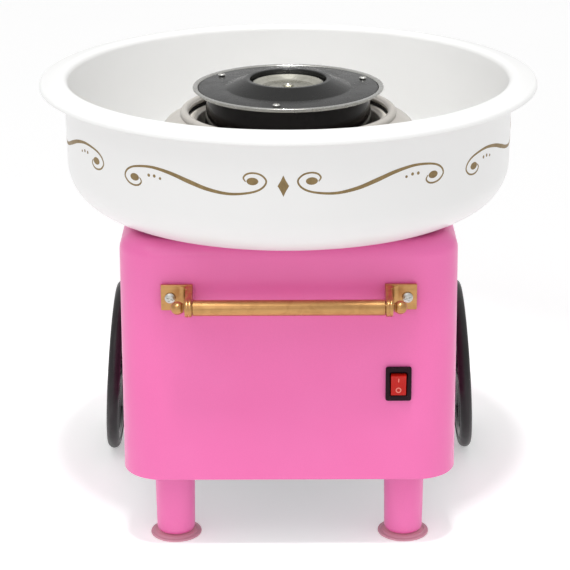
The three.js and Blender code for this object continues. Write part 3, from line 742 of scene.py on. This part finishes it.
stand_in("switch_housing", switch_housing())
stand_in("switch_rocker", rocker(), sharp=40)
MARK = 0.09
MARK_DISTANCE = 3.3
stroke = soften([(-0.28, -1.35, 0.2), (0.28, -1.35, 0.2), (0.28, 1.35, 0.2), (-0.28, 1.35, 0.2)], 3)
on_mark = placed(prism(stroke, -MARK, MARK), mark_place(MARK_DISTANCE))
piece("rocker_on_mark", on_mark, "switch_mark", "rocker")
ring_profile = soften([(1.05, -MARK), (1.7, -MARK), (1.7, MARK, 0.06), (1.05, MARK, 0.06)], 2)
off_mark = placed(lathe(ring_profile, 40), mark_place(-MARK_DISTANCE))
piece("rocker_off_mark", off_mark, "switch_mark", "rocker")


# ---- mains inlet gland

def gland():
    """A ribbed clamping nut outside the back wall and its threaded body inside it."""
    low, high = extent("mains_inlet_gland")
    wall = body_high.y
    radius = (high.x - low.x) / 2
    bore = 3.5
    inside = radius - 2.3
    nose = high.y
    profile = soften([(bore, low.y), (inside, low.y, 0.4), (inside, wall + 0.3), (radius, wall + 0.3, 0.5),
                      (radius, wall + 3.4, 0.5), (radius - 1.2, wall + 3.9, 0.4), (radius - 3, nose, 1.2),
                      (bore, nose, 0.5)], 4)
    nut = lathe(profile, 72)
    for vert in nut.verts:
        out = math.hypot(vert.co.x, vert.co.y)
        if out > radius - 0.6 and vert.co.z > wall:
            ridge = 1 - 0.028 * (1 + math.cos(12 * math.atan2(vert.co.y, vert.co.x)))
            vert.co.x *= ridge
            vert.co.y *= ridge
    centre = middle("mains_inlet_gland")
    return placed(nut, Matrix.Translation((centre.x, 0, centre.z)) @ Matrix.Rotation(-math.pi / 2, 4, "X"))


stand_in("mains_inlet_gland", gland())


# ---- heater housing and heater

housing_low, housing_high = extent("heater_housing")
RING = 63.1
RING_TUBE = 2.6
ring_height = housing_high.z - RING_TUBE + 0.2
LEDGE = 246


def heater_housing():
    """A skirt, a sloping shoulder, a rolled ring, a ledge in a groove under the ring, and a deep cup."""
    radius = housing_high.x
    foot = housing_low.z
    wall = 2
    skirt = 232
    shoulder, shoulder_top, neck = 74.5, 244.6, 66.6
    floor, cup, middle_hole = 223, 54, 8
    groove, under_ring = RING + 1.2, ring_height - 1.9
    outside = soften([(radius - wall, foot), (radius, foot, 0.5), (radius, skirt, 12),
                      (shoulder, shoulder_top, 10), (neck, under_ring)], 8, loop=False)
    roll = arc(RING, ring_height, RING_TUBE, -25, 215, 20)
    inside = soften([(RING - 1.7, under_ring), (groove, ring_height - 2.4, 0.5), (groove, LEDGE, 0.4),
                     (cup + 1.6, LEDGE, 1.2), (cup, floor + 3, 3), (cup - 4, floor, 3),
                     (middle_hole, floor, 0.5), (middle_hole, floor - wall), (cup, floor - wall, 4),
                     (cup + 3.8, LEDGE - wall, 1), (RING + 3.4, LEDGE - wall, 2),
                     (shoulder - 1.3, shoulder_top - 3, 2), (radius - wall, skirt - 1, 3),
                     (radius - wall, foot)], 5, loop=False)
    return lathe([*outside[:-1], *roll, *inside[:-1]], 128)


stand_in("heater_housing", heater_housing())

# A black rubber band in the groove under the rolled ring: painted shade, a dark sheet standing in for the
# shadow under the ring's lip.
shade_band_inner, shade_band_outer = RING - 1.3, RING + 1.1
shade_band_foot, shade_band_top = LEDGE + 0.05, ring_height - 2.7
shade_band_outline = soften([(shade_band_inner, shade_band_foot, 0.3), (shade_band_outer, shade_band_foot), (shade_band_outer, shade_band_top),
                 (shade_band_inner, shade_band_top, 0.3)], 3)
piece("ring_groove_painted_shade", lathe(shade_band_outline, 128), "black_rubber", "cart")


def heater_element():
    """A sheathed ring of round tube, closed all the way round."""
    low, high = extent("heater_element")
    tube = (high.z - low.z) / 2
    coil = high.x - tube
    return lathe(arc(coil, (low.z + high.z) / 2, tube, 0, 345, 15), 96)


stand_in("heater_element", heater_element())


# ---- spindle

def shaft():
    low, high = extent("motor_shaft")
    profile = soften([(0, low.z), (high.x, low.z, 0.3), (high.x, high.z, 0.5), (0, high.z)], 3, loop=False)
    return lathe(profile, 40)


def drive_hub():
    """A sleeve on the shaft with a flange that the head stands on."""
    low, high = extent("drive_hub")
    bore, sleeve = 3.3, 7
    under_flange = high.z - 3
    profile = soften([(bore, low.z), (sleeve, low.z, 0.5), (sleeve, under_flange, 0.6),
                      (high.x, under_flange, 0.4), (high.x, high.z, 0.4), (bore, high.z, 0.3)], 3)
    return lathe(profile, 64)


stand_in("motor_shaft", shaft())
stand_in("drive_hub", drive_hub())


# ---- extractor head

disc_low, disc_high = extent("cover_disc")
DISC = disc_high.x
SHEET = 1.2
disc_top = disc_low.z + SHEET
MOUTH = 23.2
CONE_BASE = 38.2
head_screw_centres = [middle(f"head_screw_{n}") for n in (1, 2, 3)]


def screw_holes(height):
    """Cutters for the three screws, through a sheet at this height."""
    return [drill(1.4, 8, (centre.x, centre.y, height)) for centre in head_screw_centres]


def cover_disc():
    """A flat pressed disc that rises in a low cone to a mouth with a turned-in edge."""
    throat = MOUTH - 1.4
    profile = soften([(throat, disc_top, 0.3), (throat, disc_low.z, 0.3), (MOUTH + 0.2, disc_low.z, 0.5),
                      (MOUTH + SHEET, disc_high.z - 2, 0.6), (MOUTH + 1.9, disc_high.z - 1.7, 0.5),
                      (CONE_BASE - 1.8, disc_low.z, 3), (DISC, disc_low.z, 0.5), (DISC, disc_top, 0.5),
                      (CONE_BASE, disc_top, 3), (MOUTH + 2.8, disc_high.z, 1.2), (MOUTH, disc_high.z, 0.8),
                      (MOUTH - 0.4, disc_top + 0.3, 0.3)], 5)
    return carved(lathe(profile, 160), screw_holes(disc_top))


def rim_plate():
    """A sheet ring with a stepped-up flange that frames the cover's edge."""
    low, high = extent("rim_plate")
    sheet = 1
    step = DISC + 0.3
    profile = soften([(30, low.z), (step + sheet, low.z, 0.9), (step + sheet, high.z - sheet, 0.3),
                      (high.x, high.z - sheet, 0.4), (high.x, high.z, 0.4), (step, high.z, 0.9),
                      (step, low.z + sheet, 0.3), (30, low.z + sheet)], 5)
    return carved(lathe(profile, 160), screw_holes(low.z))


def head_drum():
    """A drum that widens to a foot with a bead, closed by a web on the hub, with a flange inside its top."""
    low, high = extent("head_drum")
    wall, web, eye = 1.6, 246, 4
    top_radius, foot_radius = high.x - 3, high.x
    flange = top_radius - 7
    profile = soften([(eye, web), (top_radius - 1 - wall, web, 1), (foot_radius - wall, low.z, 0.3),
                      (foot_radius, low.z, 0.6), (foot_radius - 0.2, low.z + 2.4, 0.4),
                      (foot_radius - 0.9, low.z + 3, 0.4), (top_radius, high.z, 1), (flange, high.z, 0.4),
                      (flange, high.z - wall, 0.4), (top_radius - wall, high.z - wall, 0.6),
                      (top_radius - wall - 0.4, web + wall, 1.5), (eye, web + wall)], 5)
    return lathe(profile, 160)


def sugar_dish():
    """A spun pan on a hollow stem."""
    low, high = extent("sugar_dish")
    radius = high.x
    stem, bore, cap = 7, 3.5, 263
    floor = high.z - 3
    profile = soften([(0, cap), (bore, cap), (bore, low.z), (stem, low.z, 0.4), (stem, floor - 1.8, 1),
                      (radius - 4, floor - 1.2, 3), (radius, high.z - 0.6, 0.4), (radius, high.z, 0.2),
                      (radius - 0.9, high.z, 0.3), (radius - 4.8, floor + 0.3, 4), (5, floor, 2), (0, floor)],
                     6, loop=False)
    return lathe(profile, 128)


def dish_nut():
    """A six-sided nut with a domed end."""
    low, high = extent("dish_nut")
    across, shoulder = high.x - 0.2, high.z - 0.9
    hexagon = [turn(Vector((across, 0)), k * math.pi / 3) for k in range(6)]
    nut = bevelled(prism(hexagon, low.z, shoulder), 0.2, 2)
    foot = low.z + 0.2
    dome = lathe([(0, foot), (2.2, foot), (2.2, shoulder), (1.6, high.z - 0.25), (0, high.z)], 40)
    return carved(nut, [dome], "UNION")


stand_in("cover_disc", cover_disc(), sharp=40)
stand_in("rim_plate", rim_plate())
stand_in("head_drum", head_drum())
stand_in("sugar_dish", sugar_dish())
stand_in("dish_nut", dish_nut())
for number, centre in enumerate(head_screw_centres, 1):
    low, high = extent(f"head_screw_{number}")
    head_height = 1.2
    screw = cross_screw(2.2, head_height, 1.05, high.z - low.z - head_height)
    turned = Matrix.Rotation(0.7 * number, 4, "Z")
    seat = Matrix.Translation((centre.x, centre.y, high.z - head_height))
    stand_in(f"head_screw_{number}", placed(screw, seat @ turned))


# ---- bowl

bowl_low, bowl_high = extent("bowl")
RIM = bowl_high.x
BOWL_WALL = RIM - 15
BOWL_BOTTOM = bowl_low.z + 1
BOWL_TAPER = 0.5
BOWL_CORNER = 25.5
SHEET_BOWL = 2.4


def bowl_wall(height):
    """The outer radius of the bowl's straight wall at a height."""
    foot = BOWL_BOTTOM + BOWL_CORNER
    return BOWL_WALL - BOWL_TAPER * (bowl_high.z - height) / (bowl_high.z - foot)


def bowl():
    """A wide pan with a seat and a collar round its middle hole and a lip that turns out and down."""
    top, seat, bottom, thick = bowl_high.z, bowl_low.z, BOWL_BOTTOM, SHEET_BOWL
    wall_foot = bowl_wall(bottom)
    hole, collar_top = 86.5, bottom + 9
    under_lip, lip_edge = top - thick - 0.4, top - 5.6
    corners = [(hole, seat, 0.4), (hole + 4, seat, 0.4), (hole + 5.5, bottom, 1.5),
               (wall_foot, bottom, BOWL_CORNER), (BOWL_WALL, under_lip, 2.5),
               (RIM - thick, under_lip - 0.8, 1.2), (RIM - thick, lip_edge, 0.5), (RIM, lip_edge, 0.9),
               (RIM, top - 2.2, 2.4), (BOWL_WALL + 3.4, top, 9), (BOWL_WALL - thick + 0.3, top, 3.6),
               (wall_foot - thick, bottom + thick, BOWL_CORNER - thick),
               (hole + thick + 1, bottom + thick, 2), (hole + thick, collar_top, 0.8),
               (hole, collar_top, 0.8)]
    return lathe(soften(corners, 12), 224)


stand_in("bowl", bowl(), sharp=50)


# ---- gold scroll print round the bowl

# The turn of the front print and the step to its neighbours are in degrees, and the tilt is a slope.
PRINT_PROUD = 0.06
PRINT_TURN = -1.2
PRINT_STEP = 92
PRINT_TILT = 0.0116
BAND = 242.8

# Half of one scroll, from a curl's tip to the scroll's middle: along the band, up it, and the stroke's width.
HALF_SCROLL = [(-33.4, 2.2, 0.6), (-32.2, 4.4, 0.9), (-34.1, 6.6, 1.0), (-37.9, 7.3, 1.0), (-42.2, 6.1, 1.0),
               (-44.9, 2.7, 1.0), (-42.5, -1.3, 1.1), (-36.0, -4.0, 1.2), (-24.0, -5.2, 1.55),
               (-11.5, -3.4, 2.1), (0, 0, 2.5)]
# Each scroll's hand and how far its middle is from the diamond.
SCROLL_MIDDLES = ((-1, 54.3), (1, 52.9))
# The spot inside a curl and the dots beside the stroke: place, up the band, and radius.
EYE = (-37.2, 2.5, 3.3, 2.15)
DOTS = ((-26.5, 0.2, 0.95), (-22.6, 0.3, 0.95), (-18.6, -0.6, 0.8))


def spline(points, steps=7):
    """A smooth line through points of any size, by Catmull-Rom spans."""
    points = [Vector(point) for point in points]
    ends = [2 * points[0] - points[1], *points, 2 * points[-1] - points[-2]]
    line = []
    for a, b, c, d in zip(ends, ends[1:], ends[2:], ends[3:]):
        for k in range(steps):
            t = k / steps
            line.append(0.5 * (2 * b + (c - a) * t + (2 * a - 5 * b + 4 * c - d) * t ** 2
                               + (3 * b - a - 3 * c + d) * t ** 3))
    return [*line, points[-1]]


def wrap(x, y, out, turn_angle):
    """A point of the flat print on the bowl: x round from the front to the right, y up from the middle of
    the band. The print sits slightly askew, lower at its left end."""
    height = BAND + y + x * PRINT_TILT
    radius = bowl_wall(height) + out
    angle = x / BOWL_WALL + turn_angle
    return (radius * math.sin(angle), -radius * math.cos(angle), height)


def ink(outline, angle):
    """A flat outline as a thin layer of ink: a closed skin that is sunk a little into the wall."""
    return [[wrap(x, y, out, angle) for x, y in outline] for out in (-PRINT_PROUD, PRINT_PROUD)]


def ribbon(path, angle):
    """Cross-sections of a stroke with a changing width, wrapped on the bowl."""
    rings = []
    for i, (x, y, width) in enumerate(path):
        before, after = path[max(i - 1, 0)], path[min(i + 1, len(path) - 1)]
        along = Vector((after[0] - before[0], after[1] - before[1])).normalized()
        side = Vector((-along.y, along.x)) * width / 2
        corners = ((side, -PRINT_PROUD), (side, PRINT_PROUD), (-side, PRINT_PROUD), (-side, -PRINT_PROUD))
        rings.append([wrap(x + shift.x, y + shift.y, out, angle) for shift, out in corners])
    return skin(rings, closed=False)


def ellipse(x, y, width, height, steps=28):
    angles = [2 * math.pi * k / steps for k in range(steps)]
    return [(x + width * math.cos(a), y + height * math.sin(a)) for a in angles]


def diamond(width, height):
    """A lozenge with sides that bend in slightly."""
    bend = 0.94
    corners = [(width, 0), (0, height), (-width, 0), (0, -height)]
    outline = []
    for (x0, y0), (x1, y1) in zip(corners, corners[1:] + corners[:1]):
        outline += [(x0, y0), ((x0 + x1) / 2 * bend, (y0 + y1) / 2 * bend)]
    return outline


def joined(meshes):
    """Several separate closed skins as one mesh."""
    total = bmesh.new()
    for part in meshes:
        mesh = mesh_of(part)
        total.from_mesh(mesh)
        bpy.data.meshes.remove(mesh)
    return total


def scroll_print(angle):
    """One quarter of the band: a diamond with a scroll on each side of it."""
    half = spline(HALF_SCROLL)
    scroll = [*half, *[Vector((-x, -y, width)) for x, y, width in reversed(half[:-1])]]
    parts = [skin(ink(diamond(3.2, 6.1), angle), closed=False)]
    for hand, distance in SCROLL_MIDDLES:
        path = [(hand * (x + distance), y, width) for x, y, width in scroll]
        parts.append(ribbon(path, angle))
        shapes = [ellipse(*EYE), ellipse(-EYE[0], -EYE[1], *EYE[2:])]
        shapes += [ellipse(-x, y, radius, radius, 14) for x, y, radius in DOTS]
        for shape in shapes:
            outline = [(hand * (x + distance), y) for x, y in shape]
            parts.append(skin(ink(outline, angle), closed=False))
    return joined(parts)


for number, turned_by in enumerate((0, PRINT_STEP, 180, -PRINT_STEP), 1):
    print_angle = math.radians(PRINT_TURN + turned_by)
    piece(f"scroll_print_{number}", scroll_print(print_angle), "gold_print", "lift_off_bowl", sharp=60)


# ---- cart wheels

wheel_joints = {joint["child"]: joint for joint in frame["joints"]}
TYRE_HALF = 4
RIM_OUTER, RIM_INNER, RIM_HALF = 50.2, 45.6, 3.4
HUB, HUB_HALF = 9, 3.6
HUB_BORE = 3.8
SPOKES = 12


def wheel_place(side):
    """The wheel's own frame: its centre, with +Z out of the cart along the axle."""
    joint = wheel_joints[f"{side}_wheel"]
    out = Vector(joint["axis"]).normalized()
    spin = Vector((0, 0, 1)).rotation_difference(out).to_matrix().to_4x4()
    return Matrix.Translation(Vector(joint["pos_m"]) / MM) @ spin


def tyre_radius():
    """From the tyre's height on the floor and its camber."""
    joint = wheel_joints["right_wheel"]
    lean = math.atan2(joint["axis"][2], joint["axis"][0])
    return (joint["pos_m"][2] / MM - TYRE_HALF) / math.cos(lean) + TYRE_HALF


def tyre():
    """A tyre with a round tread and a raised bead on each side."""
    radius = tyre_radius()
    foot = RIM_OUTER + 0.3
    tread = arc(radius - TYRE_HALF, 0, TYRE_HALF, -78, 78, 22)
    side = [(foot, 3.2, 0.2), (foot + 0.2, TYRE_HALF, 0.3), (foot + 1.0, TYRE_HALF, 0.3),
            (foot + 1.2, TYRE_HALF - 0.4, 0.2)]
    lower = soften([(r, -z, *rest) for r, z, *rest in side], 3, loop=False)
    upper = soften([(r, z, *rest) for r, z, *rest in reversed(side)], 3, loop=False)
    return lathe([*lower, *tread, *upper], 144)


def spoke(angle):
    """An oval spoke, thinnest halfway from the hub to the rim."""
    rings = []
    for distance, width, depth in ((HUB - 2, 2.6, 2.6), (HUB + 2.5, 1.9, 2.1), (27, 1.5, 1.7),
                                   (RIM_INNER - 3, 1.7, 1.9), (RIM_INNER + 2, 2.5, 2.4)):
        rings.append([(distance, y, z) for y, z in ellipse(0, 0, width, depth, 16)])
    return placed(skin(rings, closed=False), Matrix.Rotation(angle, 4, "Z"))


def spoked_wheel():
    """A rim, a hub and the spokes between them, moulded as one."""
    rim_shoulder, chamfer = RIM_INNER + 1.4, 1.2
    rim = lathe(soften([(rim_shoulder, -RIM_HALF, 0.6), (RIM_OUTER, -RIM_HALF, 0.4),
                        (RIM_OUTER, RIM_HALF, 0.4), (rim_shoulder, RIM_HALF, 0.6), (RIM_INNER, 2, 0.6),
                        (RIM_INNER, -2, 0.6)], 4), 144)
    hub = lathe(soften([(HUB_BORE, -HUB_HALF), (HUB - chamfer, -HUB_HALF, 0.5),
                        (HUB, chamfer - HUB_HALF, 0.5), (HUB, HUB_HALF - chamfer, 0.5),
                        (HUB - chamfer, HUB_HALF, 0.5), (HUB_BORE, HUB_HALF)], 4), 64)
    spokes = [spoke(2 * math.pi * k / SPOKES) for k in range(SPOKES)]
    return carved(rim, [hub, *spokes], "UNION")


def hub_cap():
    """A flat cap with a rim and a low dome."""
    foot = HUB_HALF + 0.3
    cap, edge, rise = 7.4, 4.7, 1.3
    angles = [math.radians(9 * k) for k in range(10)]
    dome = [Vector(((cap - 1.4) * math.cos(a), edge + rise * math.sin(a))) for a in angles]
    rim = soften([(0, foot), (cap, foot, 0.2), (cap, edge, 0.3), (cap - 1.2, edge - 0.1, 0.1), dome[0]],
                 4, loop=False)
    return lathe([*rim[:-1], *dome, Vector((0, edge + rise))], 64)


def axle_stub():
    """A stepped stub that tapers from its flange on the body to the hub."""
    flange, radius, inside = 8, 3.5, 8
    wall_gap = 0.81
    wall = wheel_joints["right_wheel"]["pos_m"][0] / MM - body_width / 2
    start, end = wall_gap - wall, -HUB_HALF - 0.3
    profile = soften([(0, -wall - inside), (radius, -wall - inside, 0.4), (radius, start),
                      (flange, start, 0.4), (flange, start + 3, 0.8), (radius + 2, start + 4.5, 1.2),
                      (radius + 1.5, end, 0.3), (radius, end), (radius, HUB_HALF, 0.4), (0, HUB_HALF)],
                     3, loop=False)
    return lathe(profile, 48)


for side, _ in SIDES:
    place = wheel_place(side)
    stand_in(f"{side}_tyre", placed(tyre(), place))
    stand_in(f"{side}_spoked_wheel", placed(spoked_wheel(), place), sharp=40)
    stand_in(f"{side}_hub_cap", placed(hub_cap(), place))
    stand_in(f"{side}_axle_stub", placed(axle_stub(), place))


# ---- pieces that keep their CAD shape

for row in frame["record"]["subparts"]:
    node = frame["nodes"][row["node"]]
    node.data.materials.clear()
    node.data.materials.append(MATERIALS[row["material_slot"]])


# ---- floor, light and camera

def stage_floor():
    """A plain pale floor, which shines a little so that it reads as white."""
    size = 6
    corners = [(-size, -size, 0), (size, -size, 0), (size, size, 0), (-size, size, 0)]
    mesh = bpy.data.meshes.new("floor")
    mesh.from_pydata(corners, [], [(0, 1, 2, 3)])
    floor = in_scene("floor", mesh)
    recipe = Recipe("floor")
    white = recipe.blend(recipe.noise(300, 2), srgb(250, 250, 250), srgb(247, 247, 247))
    recipe.set(Base_Color=white, Roughness=0.75, Specular_IOR_Level=0.1,
               Emission_Color=(1, 1, 1, 1), Emission_Strength=0.3)
    mesh.materials.append(recipe.material)
    floor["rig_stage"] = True


def aimed(name, light, place, target):
    """Hangs a light at a place in metres and points it at a target."""
    lamp = in_scene(name, light)
    lamp.location = place
    lamp.rotation_mode = "QUATERNION"
    lamp.rotation_quaternion = (Vector(target) - Vector(place)).to_track_quat("-Z", "Y")


def soft_box(name, place, target, size, power):
    light = bpy.data.lights.new(name, "AREA")
    light.shape = "RECTANGLE"
    light.size, light.size_y = size
    light.energy = power
    aimed(name, light, place, target)


def soft_spot(name, place, target, radius, angle, power):
    light = bpy.data.lights.new(name, "SPOT")
    light.shadow_soft_size = radius
    light.spot_size = math.radians(angle)
    light.spot_blend = 0.25
    light.energy = power
    aimed(name, light, place, target)


def studio():
    """White surroundings, a wide light high on the left, a small one in front, and one down into the bowl."""
    world = bpy.data.worlds.new("studio")
    world.use_nodes = True
    background = world.node_tree.nodes["Background"]
    background.inputs["Color"].default_value = (1, 1, 1, 1)
    background.inputs["Strength"].default_value = 0.7
    bpy.context.scene.world = world
    aim = (0, 0, 0.14)
    soft_box("key", (-0.5, -1.0, 1.6), aim, (1.0, 0.8), 3.8)
    soft_box("front", (-0.35, -1.6, 0.75), aim, (0.45, 0.3), 1.0)
    soft_spot("bowl_light", (0, -0.45, 1.7), (0, 0.01, 0.25), 0.15, 11.5, 118)
    bpy.context.scene.view_settings.view_transform = "Standard"


def camera():
    """The viewpoint: a long lens a little above the front, tipped down by about 19 degrees."""
    distance = 1.28968
    pitch, yaw, roll = 0.336, -0.002, 0.004
    aim = Vector((-0.0024, 0, 0.13838))
    back = Vector((-math.sin(yaw) * math.cos(pitch), -math.cos(yaw) * math.cos(pitch), math.sin(pitch)))
    data = bpy.data.cameras.new("camera")
    data.sensor_width = 36
    data.lens = 130.0
    made = in_scene("camera", data)
    made.location = aim + back * distance
    made.rotation_mode = "QUATERNION"
    made.rotation_quaternion = (-back).to_track_quat("-Z", "Y") @ Quaternion((0, 0, 1), -roll)
    bpy.context.scene.camera = made


stage_floor()
studio()
camera()

low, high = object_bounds()
